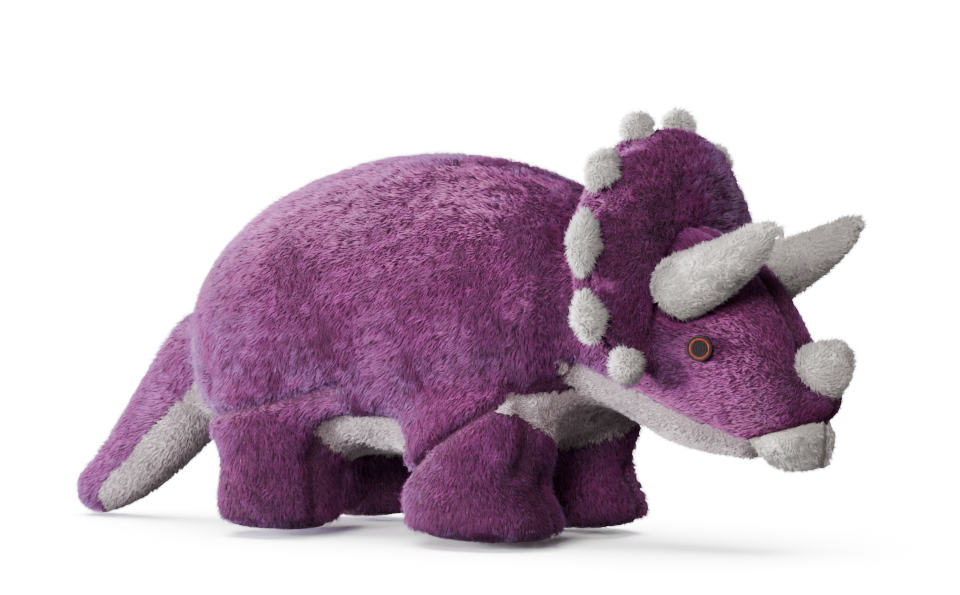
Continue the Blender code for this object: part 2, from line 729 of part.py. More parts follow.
def build():
    front = TORSO_REAR_X + TORSO_LENGTH
    neck = Vector((front - NECK_RIM, 0, NECK_HEIGHT))
    tail = Vector((TORSO_REAR_X + TAIL_INSET, 0, TAIL_HEIGHT))

    sockets = [make_tail(tail)]
    for name, x, radius, foot, slanted in (
        ("rear", TORSO_REAR_X + REAR_HIP_X, REAR_HIP_RADIUS, REAR_FOOT, False),
        ("front", front - FRONT_HIP_X, FRONT_HIP_RADIUS, FRONT_FOOT, True),
    ):
        for side_name, side in (("left", 1), ("right", -1)):
            hip = Vector((x, side * (TORSO_WIDTH / 2 - HIP_INSET - HIP_HALF_WIDTH), HIP_HEIGHT))
            sockets.append(make_leg(f"{name}_leg_{side_name}", hip, radius, HIP_HALF_WIDTH, foot, slanted))
    room = NECK_RADIUS + FLEX_GAP
    sockets.append(socket_cutter("neck socket", neck, FORWARD, (room, room)))
    make_torso(neck, tail, sockets)

    head = Part("head", soft_form("head", head_sections(neck), 12), pivot_empty("neck pivot", neck))
    horns = make_horns(neck, head)
    make_head(neck, head, [socket for _, socket in horns])
    make_eyes(neck, head)
    make_frill(neck, head)
    for pivot, _ in horns:
        pivot.location -= head.pivot.location
        pivot.parent = head.pivot


clear_scene()
toy = new_collection("stuffed_dinosaur")
cutters = new_collection("cutters", rendered=False)
build()
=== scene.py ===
"""A stuffed horned dinosaur in long-pile plush, on a pale studio floor.

Each part's cover starts as the solids of that part, grown together into one skin and pushed out by its
filling. The skin is then cut along its seams into the panels that were sewn together, and each panel gets
its pile: short tapered tufts of fibre, which lean the way the cloth was combed.
"""

import json
import math

import bmesh
import bpy
import numpy as np
from mathutils import Matrix, Vector
from mathutils.bvhtree import BVHTree

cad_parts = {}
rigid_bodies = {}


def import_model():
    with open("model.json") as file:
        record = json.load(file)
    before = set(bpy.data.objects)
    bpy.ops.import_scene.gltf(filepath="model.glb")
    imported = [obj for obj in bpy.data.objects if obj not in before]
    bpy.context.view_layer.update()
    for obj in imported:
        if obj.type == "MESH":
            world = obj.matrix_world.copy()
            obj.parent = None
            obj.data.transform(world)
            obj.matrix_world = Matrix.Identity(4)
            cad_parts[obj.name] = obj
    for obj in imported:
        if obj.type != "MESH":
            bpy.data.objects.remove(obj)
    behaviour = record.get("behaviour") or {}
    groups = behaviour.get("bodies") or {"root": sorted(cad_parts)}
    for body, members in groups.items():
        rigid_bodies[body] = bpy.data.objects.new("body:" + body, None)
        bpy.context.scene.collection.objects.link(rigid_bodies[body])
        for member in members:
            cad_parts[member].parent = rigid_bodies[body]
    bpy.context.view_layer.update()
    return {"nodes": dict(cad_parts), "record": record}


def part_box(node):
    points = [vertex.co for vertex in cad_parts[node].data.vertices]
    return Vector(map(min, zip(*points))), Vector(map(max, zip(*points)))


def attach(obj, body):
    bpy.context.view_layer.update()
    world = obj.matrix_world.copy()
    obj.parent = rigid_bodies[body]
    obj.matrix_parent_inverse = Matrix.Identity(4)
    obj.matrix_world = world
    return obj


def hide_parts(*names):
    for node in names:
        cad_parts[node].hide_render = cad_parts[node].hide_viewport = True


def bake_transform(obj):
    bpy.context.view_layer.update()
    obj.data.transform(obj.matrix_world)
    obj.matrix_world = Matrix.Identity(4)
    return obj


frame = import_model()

MM = 0.001

# The skins.
VOXEL = 4.2 * MM
FILLET = 5.5 * MM  # hollows narrower than this are spanned by the cloth
UNDER_PILE = 2.0 * MM  # how far the woven backing lies under the tips of the pile
CHEST = 69 * MM  # height at which purple cloth gives way to grey
SOLE_UP = 1.6 * MM  # from the floor to the soles' backing
SWELL = 2.6 * MM  # how far the filling may push the cloth
BACKING = 1.0 * MM
SEAM_WIDTH = 3.2 * MM
SEAM_DEPTH = 3.4 * MM

# The pile, before each cloth's own share.
PILE_LENGTH = 4.4 * MM
PILE_WIDTH = 0.24 * MM
PILE_PER_MM2 = 1.78
GRAIN = 0.75 * MM  # tufts this near each other take the same tone
MOST_TUFTS = 49000  # in one piece

LEGS = ("rear_leg_left", "rear_leg_right", "front_leg_left", "front_leg_right")
HORNS = ("brow_horn_left", "brow_horn_right", "nose_horn")
SIDES = (("left", 1), ("right", -1))

joints = {joint["child"]: joint for joint in frame["record"]["behaviour"]["joints"]}


def pivot(body):
    return Vector(joints[body]["pos_m"])


NECK, TAIL = pivot("head"), pivot("tail")
FORWARD, LEFT, UP = Vector((1, 0, 0)), Vector((0, 1, 0)), Vector((0, 0, 1))


# ---------------------------------------------------------------- materials


def colour(code):
    """An sRGB hex code as linear red, green, blue and alpha."""
    parts = [int(code[place : place + 2], 16) / 255 for place in (1, 3, 5)]
    linear = [part / 12.92 if part <= 0.04045 else ((part + 0.055) / 1.055) ** 2.4 for part in parts]
    return (*linear, 1.0)


def node(tree, kind, settings=(), **links):
    """Adds a node. Each link is an input's name, with spaces as underscores, and a value or a socket."""
    added = tree.nodes.new(kind)
    for key, value in dict(settings).items():
        setattr(added, key, value)
    for name, value in links.items():
        socket = added.inputs[int(name[1:])] if name[0] == "_" else added.inputs[name.replace("_", " ")]
        if isinstance(value, bpy.types.NodeSocket):
            tree.links.new(value, socket)
        else:
            socket.default_value = value
    return added


def ramp(tree, factor, stops):
    added = node(tree, "ShaderNodeValToRGB", Fac=factor)
    elements = added.color_ramp.elements
    while len(elements) < len(stops):
        elements.new(0.5)
    for element, (place, code) in zip(elements, stops):
        element.position = place
        element.color = colour(code)
    return added.outputs["Color"]


def material(name, **constants):
    made = bpy.data.materials.new(name)
    made.use_nodes = True
    shader = made.node_tree.nodes["Principled BSDF"]
    for key, value in constants.items():
        shader.inputs[key.replace("_", " ")].default_value = value
    return made, made.node_tree, shader


def plush(name, shaded, lit, sheen_tint, sheen=0.35, roughness=0.58):
    """Brushed polyester pile. Each tuft runs from painted shade where it leaves the backing to a painted
    highlight at its tip. Tufts of one dye lot still differ at random, and a tuft's tone mixes a painted-shade
    and a painted-light version of the same fibre."""
    made, tree, shader = material(
        name,
        Roughness=roughness,
        IOR=1.54,
        Sheen_Weight=sheen,
        Sheen_Roughness=0.35,
        Sheen_Tint=colour(sheen_tint),
    )
    along = node(tree, "ShaderNodeAttribute", {"attribute_name": "along"}).outputs["Fac"]
    tone = node(tree, "ShaderNodeAttribute", {"attribute_name": "tone"}).outputs["Fac"]
    # Each ramp runs from root to tip: painted shade at the root, a painted highlight at the tip.
    stops = [list(zip((0.0, 0.45, 1.0), codes)) for codes in (shaded, lit)]
    mixed = node(
        tree,
        "ShaderNodeMix",
        {"data_type": "RGBA"},
        _0=tone,
        _6=ramp(tree, along, stops[0]),
        _7=ramp(tree, along, stops[1]),
    )
    tree.links.new(mixed.outputs[2], shader.inputs["Base Color"])
    return made


def backing(name, low, high):
    """The knitted ground of plush, seen only between tufts: a 1.1 mm knit, darker than the pile, its dark
    tone painted shade matching the pile's shaded version.
    """
    made, tree, shader = material(name, Roughness=0.95)
    place = node(tree, "ShaderNodeTexCoord").outputs["Object"]
    knit = node(tree, "ShaderNodeTexNoise", Vector=place, Scale=900.0, Detail=2.0)
    tree.links.new(ramp(tree, knit.outputs["Fac"], [(0.3, low), (0.7, high)]), shader.inputs["Base Color"])
    return made


def thread(name, low, high, roughness):
    """Trilobal polyester embroidery thread in satin stitch: a soft shine and a fine twist of 0.4 mm."""
    made, tree, shader = material(name, Roughness=roughness, IOR=1.54, Specular_IOR_Level=0.25)
    place = node(tree, "ShaderNodeTexCoord").outputs["Object"]
    twist = node(tree, "ShaderNodeTexNoise", Vector=place, Scale=1800.0, Detail=1.0)
    tree.links.new(ramp(tree, twist.outputs["Fac"], [(0.35, low), (0.65, high)]), shader.inputs["Base Color"])
    return made


# Each plush below has a shaded and a lit ramp from root to tip, which paint shade and light into its colour.
PURPLE = plush(
    "purple polyester plush, brushed",
    ("#14000d", "#440434", "#741c5e"),
    ("#30031f", "#7c0a62", "#b24a9e"),
    "#cba6ee",
    sheen=0.4,
)
GREY = plush(
    "taupe polyester plush, short pile",
    ("#665a5b", "#a09296", "#c8bcbf"),
    ("#877a7c", "#c8bbbe", "#ece4e6"),
    "#efe6ee",
    sheen=0.2,
)
PALE = plush(
    "pale grey polyester sherpa, shaggy",
    ("#7a766e", "#bdbab2", "#e2e0da"),
    ("#a5a198", "#e9e7e1", "#fdfcf9"),
    "#ffffff",
    sheen=0.15,
)
# The grounds take the pile's shaded tone: painted shade deep among the tufts.
PURPLE_GROUND = backing("purple knitted ground", "#26031c", "#470a38")
GREY_GROUND = backing("taupe knitted ground", "#6a5d60", "#8a7d80")
PALE_GROUND = backing("pale knitted ground", "#a8a399", "#c8c4bc")
BLACK_THREAD = thread("black satin stitch thread", "#020203", "#0b0c0e", 0.45)
ORANGE_THREAD = thread("rust satin stitch thread", "#64190c", "#983418", 0.42)

CLOTHS = {
    "purple_plush": (PURPLE, PURPLE_GROUND),
    "grey_plush": (GREY, GREY_GROUND),
    "pale_plush": (PALE, PALE_GROUND),
}
SLOTS = {entry["node"]: entry["material_slot"] for entry in frame["record"]["subparts"]}


# ---------------------------------------------------------------- meshes


def new_object(name, mesh):
    made = bpy.data.objects.new(name, mesh)
    bpy.context.scene.collection.objects.link(made)
    return made


def only(obj):
    """Makes this the one object that an operator acts on."""
    bpy.ops.object.select_all(action="DESELECT")
    obj.select_set(True)
    bpy.context.view_layer.objects.active = obj


def finish(obj, kind, **settings):
    """Adds a modifier and applies it."""
    added = obj.modifiers.new(kind.title(), kind)
    for key, value in settings.items():
        setattr(added, key, value)
    only(obj)
    bpy.ops.object.modifier_apply(modifier=added.name)


def solids(name, nodes, lumps=()):
    """A new object that holds a copy of these nodes' solids, each welded, and lumps of extra filling, each a
    centre and three radii."""
    bm = bmesh.new()
    for node_name in nodes:
        bm.from_mesh(frame["nodes"][node_name].data)
    bmesh.ops.remove_doubles(bm, verts=bm.verts, dist=0.01 * MM)
    for centre, radii in lumps:
        shape = Matrix.Translation(centre) @ Matrix.Diagonal((*radii, 1))
        bmesh.ops.create_uvsphere(bm, u_segments=24, v_segments=16, radius=1, matrix=shape)
    mesh = bpy.data.meshes.new(name)
    bm.to_mesh(mesh)
    bm.free()
    return new_object(name, mesh)


def points_of(mesh):
    points = np.empty(len(mesh.vertices) * 3)
    mesh.vertices.foreach_get("co", points)
    return points.reshape(-1, 3)


def normals_of(mesh):
    normals = np.empty(len(mesh.vertices) * 3)
    mesh.vertex_normals.foreach_get("vector", normals)
    return normals.reshape(-1, 3)


def set_points(mesh, points):
    mesh.vertices.foreach_set("co", points.ravel())
    mesh.update()


def skin(name, nodes, voxel, fillet, under, swell, lumps=()):
    """One closed skin around these nodes' solids and lumps, stuffed until it is taut."""
    form = solids(name, nodes, lumps)
    finish(form, "REMESH", mode="VOXEL", voxel_size=voxel)
    if fillet:
        finish(form, "DISPLACE", strength=fillet, mid_level=0.0)
        finish(form, "REMESH", mode="VOXEL", voxel_size=voxel)
    finish(form, "DISPLACE", strength=-fillet - under, mid_level=0.0)
    relax(form, 5)
    stuff(form, swell)
    finish(form, "SUBSURF", levels=1, render_levels=1)
    return form


def stuff(form, swell):
    """The filling's pressure on the cloth, which gives way by no more than swell."""
    rest = points_of(form.data)
    cloth = form.modifiers.new("Cloth", "CLOTH")
    cloth.settings.use_pressure = True
    cloth.settings.uniform_pressure_force = 4.0
    cloth.settings.effector_weights.gravity = 0.0
    cloth.settings.tension_stiffness = 12.0
    cloth.settings.compression_stiffness = 12.0
    cloth.settings.bending_stiffness = 0.6
    for moment in range(1, 21):
        bpy.context.scene.frame_set(moment)
    only(form)
    bpy.ops.object.modifier_apply(modifier=cloth.name)
    bpy.context.scene.frame_set(1)
    moved = points_of(form.data) - rest
    far = np.linalg.norm(moved, axis=1, keepdims=True)
    set_points(form.data, rest + moved * np.minimum(1.0, swell / np.maximum(far, 1e-9)))
    relax(form, 2)


def relax(form, rounds):
    """Smooths a skin; each round also pushes back out, so that horns, toes and tail keep their size."""
    for _ in range(rounds):
        finish(form, "SMOOTH", factor=0.5, iterations=1)
        finish(form, "SMOOTH", factor=-0.45, iterations=1)


def sew(form, seams):
    """Cuts the skin's faces along each seam and draws the cloth in there. A seam is a point, a normal and a
    test of where it runs."""
    bm = bmesh.new()
    bm.from_mesh(form.data)
    for place, normal, runs in seams:
        faces = bm.faces[:]
        middles = np.array([face.calc_center_median() for face in faces])
        near = [faces[number] for number in np.flatnonzero(runs(middles))]
        edges = {edge for face in near for edge in face.edges}
        verts = {vert for face in near for vert in face.verts}
        geom = [*near, *edges, *verts]
        bmesh.ops.bisect_plane(bm, geom=geom, plane_co=place, plane_no=normal, dist=0.3 * MM)
    bm.to_mesh(form.data)
    bm.free()
    form.data.update()
    points, normals = points_of(form.data), normals_of(form.data)
    set_points(form.data, points - normals * SEAM_DEPTH * nearness(points, seams)[:, None])


def nearness(points, seams, width=SEAM_WIDTH):
    """How near each point is to a seam: 1 on it, and 0 well away from it."""
    near = np.zeros(len(points))
    for place, normal, runs in seams:
        away = (points - np.array(place)) @ np.array(normal)
        near = np.maximum(near, np.exp(-((away / width) ** 2)) * runs(points))
    return near


def owners(form, nodes):
    """Which of these nodes' solids lies nearest each face of the skin."""
    points, faces, owner = [], [], []
    for number, node_name in enumerate(nodes):
        mesh = frame["nodes"][node_name].data
        start = len(points)
        points.extend(vert.co for vert in mesh.vertices)
        faces.extend([start + corner for corner in face.vertices] for face in mesh.polygons)
        owner.extend([number] * len(mesh.polygons))
    tree = BVHTree.FromPolygons(points, faces)
    return np.array([owner[tree.find_nearest(face.center)[2]] for face in form.data.polygons])


def part_of(form, name, wanted):
    """A new object from the faces of a skin that are wanted."""
    bm = bmesh.new()
    bm.from_mesh(form.data)
    bm.faces.ensure_lookup_table()
    dropped = [bm.faces[number] for number in np.flatnonzero(~wanted)]
    bmesh.ops.delete(bm, geom=dropped, context="FACES")
    mesh = bpy.data.meshes.new(name)
    bm.to_mesh(mesh)
    bm.free()
    return new_object(name, mesh)


# ---------------------------------------------------------------- pile


def waves(points, size, seed, channels=1):
    """Smooth variation between about -1 and 1 over lengths of this size."""
    rng = np.random.default_rng(seed)
    total = np.zeros((len(points), channels))
    for _ in range(12):
        way = rng.normal(size=(3, channels))
        way *= math.tau / size * rng.uniform(0.6, 1.6) / np.linalg.norm(way, axis=0)
        total += np.sin(points @ way + rng.uniform(0, math.tau, channels))
    return total / math.sqrt(12)


def speckle(points):
    """Unrelated values between -1 and 1, the same within each grain."""
    cells = np.floor(points / GRAIN).astype(np.int64) @ np.array([73856093, 19349663, 83492791])
    return 2 * np.mod(np.sin(cells % 100003 * 12.9898) * 43758.5453, 1.0) - 1


def unit(vectors):
    return vectors / np.maximum(np.linalg.norm(vectors, axis=1, keepdims=True), 1e-9)


def roots(cloth, per_mm2, rng):
    """Places spread evenly over a cloth, with the normal at each."""
    mesh = cloth.data
    mesh.calc_loop_triangles()
    corners = np.empty(len(mesh.loop_triangles) * 3, np.int32)
    mesh.loop_triangles.foreach_get("vertices", corners)
    corners = corners.reshape(-1, 3)
    points, normals = points_of(mesh), normals_of(mesh)
    a, b, c = (points[corners[:, k]] for k in range(3))
    area = np.linalg.norm(np.cross(b - a, c - a), axis=1) / 2
    count = int(area.sum() / MM**2 * per_mm2)
    chosen = rng.choice(len(area), count, p=area / area.sum())
    first, second = rng.random((2, count))
    turned = first + second > 1
    first[turned], second[turned] = 1 - first[turned], 1 - second[turned]
    share = np.stack([1 - first - second, first, second], axis=1)[:, :, None]
    picked = corners[chosen]
    return (points[picked] * share).sum(1), unit((normals[picked] * share).sum(1))


def pile(
    name, cloth, hair, comb, length=1.0, density=1.0, width=1.0, lean=1.12, ruffle=0.35, bare=(), seams=()
):
    """The tufts on a cloth, as pieces of no more than MOST_TUFTS. comb gives the way that they are brushed at
    each root, lean how far they lie over, in radians, ruffle how much they wander from the comb, and bare
    the places, as a centre and a radius, where none grow. Tufts caught in a seam are short, and darkened
    with painted shade in the seam's crease."""
    rng = np.random.default_rng(sum(map(ord, name)))
    root, normal = roots(cloth, PILE_PER_MM2 * density, rng)
    keep = np.ones(len(root), bool)
    for centre, radius in bare:
        keep &= np.linalg.norm(root - np.array(centre), axis=1) > radius
    root, normal = root[keep], normal[keep]
    count = len(root)
    way = comb(root) + ruffle * (waves(root, 34 * MM, 3, 3) + 0.8 * waves(root, 9 * MM, 4, 3))
    way += 0.17 * rng.normal(size=(count, 3))
    way = unit(way - normal * (way * normal).sum(1, keepdims=True))
    tilt = lean + 0.13 * waves(root, 22 * MM, 5)[:, 0] + 0.12 * rng.normal(size=count)
    tilt = np.clip(tilt, 0.15, 1.36)[:, None]
    axis = unit(normal * np.cos(tilt) + way * np.sin(tilt))
    caught = nearness(root, seams)
    reach = PILE_LENGTH * length * np.clip(1 + 0.2 * rng.normal(size=count), 0.45, 1.4)
    reach = (reach * (1 - 0.55 * caught))[:, None]
    across = unit(np.cross(axis, normal) + 1e-6)
    over = np.cross(across, axis)
    radius = PILE_WIDTH * width * np.clip(1 + 0.2 * rng.normal(size=count), 0.5, 1.5)[:, None]
    corners = np.empty((count, 4, 3))
    for number in range(3):
        turn = math.tau * number / 3 + math.pi / 2
        out = across * math.cos(turn) + over * math.sin(turn)
        corners[:, number] = root - normal * 0.3 * MM + radius * out
    corners[:, 3] = root + axis * reach
    corners[:, :, 2] = np.maximum(corners[:, :, 2], 0.1 * MM)
    # A tuft's tone differs at random and picks between the shaded and lit versions. In a seam it is lowered,
    # which is painted crease shade.
    tone = 0.5 + 0.16 * waves(root, 60 * MM, 6)[:, 0] + 0.12 * waves(root, 15 * MM, 7)[:, 0]
    tone = np.clip(tone + 0.2 * speckle(root) + 0.12 * rng.normal(size=count) - 0.5 * caught, 0.02, 0.98)
    order = np.argsort(root[:, 0])
    made = []
    for number, chosen in enumerate(np.array_split(order, -(-count // MOST_TUFTS)), 1):
        made.append(tufts(f"{name}_{number}", corners[chosen], tone[chosen], hair))
    return made


def tufts(name, corners, tone, hair):
    """One mesh of closed, tapered tufts."""
    count = len(corners)
    sides = np.array([[0, 1, 3], [1, 2, 3], [2, 0, 3], [0, 2, 1]])
    faces = (np.arange(count)[:, None, None] * 4 + sides).reshape(-1, 3)
    mesh = bpy.data.meshes.new(name)
    mesh.vertices.add(count * 4)
    mesh.vertices.foreach_set("co", corners.ravel())
    mesh.loops.add(len(faces) * 3)
    mesh.loops.foreach_set("vertex_index", faces.ravel())
    mesh.polygons.add(len(faces))
    mesh.polygons.foreach_set("loop_start", np.arange(len(faces)) * 3)
    mesh.polygons.foreach_set("use_smooth", np.ones(len(faces), bool))
    along = np.tile(np.array([0.0, 0.0, 0.0, 1.0]), count)
    tones = np.repeat(tone, 4)
    for key, values in (("along", along), ("tone", tones)):
        mesh.attributes.new(key, "FLOAT", "POINT").data.foreach_set("value", values.astype(np.float32))
    spot = np.stack([tones + np.tile([-0.004, 0.0, 0.004, 0.0], count), 0.01 + 0.98 * along], axis=1)
    mesh.uv_layers.new(name="OFBake").data.foreach_set("uv", spot[faces.ravel()].astype(np.float32).ravel())
    mesh.update(calc_edges=True)
    mesh.materials.append(hair)
    return new_object(name, mesh)


def follow(pieces, ride):
    for piece in pieces:
        ride(piece)


def cover(form, panels, ride_of, comb_of, pile_of, bare=(), seams=(), moved=None):
    """Cuts a skin into these panels, gives each its backing and its pile, and lets them stand for the nodes.
    moved gives the faces at a panel's edge that another panel takes."""
    owner = owners(form, panels)
    if moved:
        moved(np.array([face.center for face in form.data.polygons]), owner)
    for number, name in enumerate(panels):
        wanted = owner == number
        if not wanted.any():
            raise ValueError(f"no cloth lies at {name}")
        slot = SLOTS[name]
        hair, ground = CLOTHS[slot]
        panel = part_of(form, f"{name}_cloth", wanted)
        ride = ride_of(name)
        tufted = pile(f"{name}_pile", panel, hair, comb_of(name), bare=bare, seams=seams, **pile_of(name))
        follow(tufted, ride)
        finish(panel, "SOLIDIFY", thickness=BACKING, offset=-1.0, use_rim=True)
        panel.data.materials.clear()
        panel.data.materials.append(ground)
        only(panel)
        bpy.ops.object.shade_smooth()
        follow([panel], ride)
        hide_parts(name)
    bpy.data.objects.remove(form)


# ---------------------------------------------------------------- the animal's skin

BODY_PANELS = [
    *(f"side_panel_{side}" for side, _ in SIDES),
    "belly_panel",
    *(f"tail_panel_{side}" for side, _ in SIDES),
    "tail_underside_panel",
    *(f"face_panel_{side}" for side, _ in SIDES),
    *(f"beak_{side}" for side, _ in SIDES),
    "chin_panel",
    "neck_panel",
    "throat_panel",
    *(f"rear_leg_{side}_{panel}" for side, _ in SIDES for panel in ("outer_panel", "inner_panel", "sole")),
    *(f"front_leg_{side}_{panel}" for side, _ in SIDES for panel in ("upper_panel", "paw_panel", "sole")),
]
BODY_FILLINGS = ["torso_stuffing", "head_stuffing", "tail_stuffing", *(f"{leg}_stuffing" for leg in LEGS)]

SNOUT = Vector(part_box("beak_left")[1])

# Half length, half width and half height of the lumps in the thighs.
FRONT_THIGH = (39 * MM, 29 * MM, 36 * MM)
REAR_THIGH = (36 * MM, 29 * MM, 34 * MM)

TAIL_REST = 50 * MM  # length over which the tail bends down to the floor
FOOT_REST = 30 * MM  # height over which a leg settles onto its sole
PAW_STEP = 4 * MM  # how far the front paws settle forward
SOLE_SEAM = 5 * MM
PAW_SEAM_TILT = math.radians(33)
EYE_CLEARING = 6.2 * MM  # no pile grows this near the middle of an eye


def body_of(name):
    for body, nodes in frame["record"]["behaviour"]["bodies"].items():
        if name in nodes:
            return body
    raise ValueError(name)


def body_ride(name):
    """How a panel moves: with its body. The panels of the legs, the tail, the neck and the throat are left
    unattached, fixed where they are made.
    """
    body = body_of(name)
    if body in LEGS:
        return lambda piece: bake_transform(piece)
    if body == "tail":
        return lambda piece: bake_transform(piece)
    if name in ("neck_panel", "throat_panel"):
        return lambda piece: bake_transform(piece)
    return lambda piece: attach(piece, body)


def toward(x, y, z):
    return lambda points: np.tile(np.array([x, y, z], float), (len(points), 1))


def face_comb(points):
    """From the snout back and down over the cheeks."""
    return unit(points - np.array(SNOUT)) + np.array([-0.3, 0, -0.35])


def body_comb(name):
    if name.startswith("tail"):
        return toward(-0.8, 0, -0.6)
    if name.startswith(("face", "chin")):
        return face_comb
    if name.startswith("beak"):
        return toward(0.2, 0, -1)
    if "leg" in name:
        return toward(0.1, 0, -1)
    if name.startswith(("belly", "throat")):
        return toward(-1, 0, -0.4)
    return toward(-0.45, 0, -0.9)


def body_pile(name):
    if SLOTS[name] == "grey_plush":
        return {"length": 0.5, "density": 1.0, "lean": 1.0}
    if name.endswith("sole"):
        return {"length": 0.5, "density": 0.5}
    if name.startswith("beak"):
        return {"length": 0.75, "density": 1.4, "lean": 1.0, "ruffle": 0.8, "width": 1.2}
    if name.startswith("face"):
        return {"length": 0.72, "density": 1.15, "lean": 1.18, "ruffle": 0.25}
    return {}


def lumps_of_filling():
    """Lumps where the legs swell out of the body, at the tail's end, in the snout and in the beak."""
    lumps = []
    for leg in LEGS:
        ahead, radii = (3, FRONT_THIGH) if leg.startswith("front") else (0, REAR_THIGH)
        lumps.append((pivot(leg) + Vector((ahead * MM, 0, 2 * MM)), radii))
    low = Vector(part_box("tail_stuffing")[0])
    lumps.append((Vector((low.x + 11 * MM, 0, 14.5 * MM)), (14 * MM, 14 * MM, 14 * MM)))
    lumps.append((NECK + Vector((115 * MM, 0, -36 * MM)), (12 * MM, 14 * MM, 10 * MM)))
    lumps.append((NECK + Vector((106 * MM, 0, -60 * MM)), (15 * MM, 16 * MM, 9 * MM)))
    return lumps


def ease(share):
    return share * share * (3 - 2 * share)


def settle(form):
    """Rests the tail's end and the soles flat on the floor, with the front paws a little forward."""
    points = points_of(form.data)
    tail = points[:, 0] < TAIL.x - 30 * MM
    along = np.clip((TAIL.x - 14 * MM - points[:, 0]) / TAIL_REST, 0, 1)
    points[:, 2] -= (points[tail, 2].min() - SOLE_UP) * ease(along)
    for leg in LEGS:
        hip = pivot(leg)
        foot = np.hypot(points[:, 0] - hip.x, points[:, 1] - hip.y) < 50 * MM
        low = points[foot, 2].min()
        share = ease(np.clip(1 - (points[:, 2] - low) / FOOT_REST, 0, 1) * foot)
        points[:, 2] -= (low - SOLE_UP) * share
        if leg.startswith("front"):
            points[:, 0] += PAW_STEP * share
    points[:, 2] = np.maximum(points[:, 2], SOLE_UP)
    set_points(form.data, points)


def skin_seams():
    """Where the cover's panels meet: along the back, chin, beak, chest and belly, and on each leg."""
    belly = Vector(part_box("belly_panel")[1])
    corner = NECK + Vector((90 * MM, 0, -54.5 * MM))
    chin = NECK + Vector((42 * MM, 0, -34 * MM))
    chin_up = Vector((20.5, 0, 48)).normalized()
    beak_up = Vector((-9.5, 0, 28)).normalized()
    seams = [
        ((0, 0, 0), LEFT, lambda at: (at[:, 2] > NECK.z) | (at[:, 0] > NECK.x)),
        (chin, chin_up, lambda at: (at[:, 0] < corner.x) & (at[:, 0] > NECK.x + 10 * MM)),
        (corner, beak_up, lambda at: at[:, 0] > corner.x),
        (corner, FORWARD, lambda at: at[:, 2] < corner.z),
        (
            (0, 0, CHEST),
            UP,
            lambda at: (abs(at[:, 1]) < belly.y) & (at[:, 0] > 40 * MM) & (at[:, 0] < NECK.x + 10 * MM),
        ),
    ]
    for _, side in SIDES:

        def under(at, side=side):
            return (at[:, 2] < belly.z) & (at[:, 2] > 34 * MM) & (at[:, 1] * side > 0) & (at[:, 0] < NECK.x)

        seams.append(((0, side * belly.y, 0), LEFT, under))
    for leg in LEGS:
        hip = pivot(leg)
        side = math.copysign(1, hip.y)

        def near(at, low, high, back=-45 * MM, inner=4 * MM, hip=hip, side=side):
            along = at[:, 0] - hip.x
            level = (at[:, 2] < high) & (at[:, 2] > low)
            return (along > back) & (along < 45 * MM) & level & (at[:, 1] * side > inner)

        seams.append(((0, 0, SOLE_SEAM), UP, lambda at, near=near: near(at, 0, 12 * MM)))
        if leg.startswith("front"):
            slant = Vector((math.sin(PAW_SEAM_TILT), 0, -math.cos(PAW_SEAM_TILT)))
            seams.append((hip, slant, lambda at, near=near: near(at, 12 * MM, 78 * MM, inner=25 * MM)))
            seams.append((hip, LEFT, lambda at, near=near: near(at, 5 * MM, 36 * MM, back=15 * MM)))
        else:
            slant = Vector((-0.2, 0, 1)).normalized()
            top = hip + UP * 10 * MM
            seams.append((top, slant, lambda at, near=near: near(at, 40 * MM, 78 * MM, inner=34 * MM)))
            seams.append((hip + LEFT * side * 10 * MM, LEFT, lambda at, near=near: near(at, 5 * MM, 60 * MM)))
    return seams


def purple_over_grey(middles, owner):
    """Takes the purple cloth further down the chest and rump, and around the end of the tail."""
    left = middles[:, 1] > 0
    belly = owner == BODY_PANELS.index("belly_panel")
    throat = owner == BODY_PANELS.index("throat_panel")
    raised = (middles[:, 0] > 40 * MM) & (middles[:, 2] > CHEST)
    rump = (middles[:, 0] < -88 * MM) & (middles[:, 2] > 36 * MM)
    end = middles[:, 0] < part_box("tail_stuffing")[0][0] + 17 * MM
    for faces, panel in (
        (belly & (raised | rump) | throat & raised & (middles[:, 0] < NECK.x + 6 * MM), "side_panel"),
        ((owner == BODY_PANELS.index("tail_underside_panel")) & end, "tail_panel"),
    ):
        for side, one in (("left", left), ("right", ~left)):
            owner[faces & one] = BODY_PANELS.index(f"{panel}_{side}")


def make_skin():
    form = skin("skin", BODY_PANELS + BODY_FILLINGS, VOXEL, FILLET, UNDER_PILE, SWELL, lumps_of_filling())
    settle(form)
    seams = skin_seams()
    sew(form, seams)
    eyes = [(eye_centre(side), EYE_CLEARING) for side, _ in SIDES]
    cover(form, BODY_PANELS, body_ride, body_comb, body_pile, eyes, seams, purple_over_grey)
    # What is inside moves with its own body, and is hidden under its cover.
    for body, shown in (
        ("torso", "side_panel_left_cloth"),
        ("head", "face_panel_left_cloth"),
        ("tail", "tail_panel_left_cloth"),
        *((leg, f"{leg}_{'outer' if leg.startswith('rear') else 'upper'}_panel_cloth") for leg in LEGS),
    ):
        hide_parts(f"{body}_stuffing")


# ---------------------------------------------------------------- frill

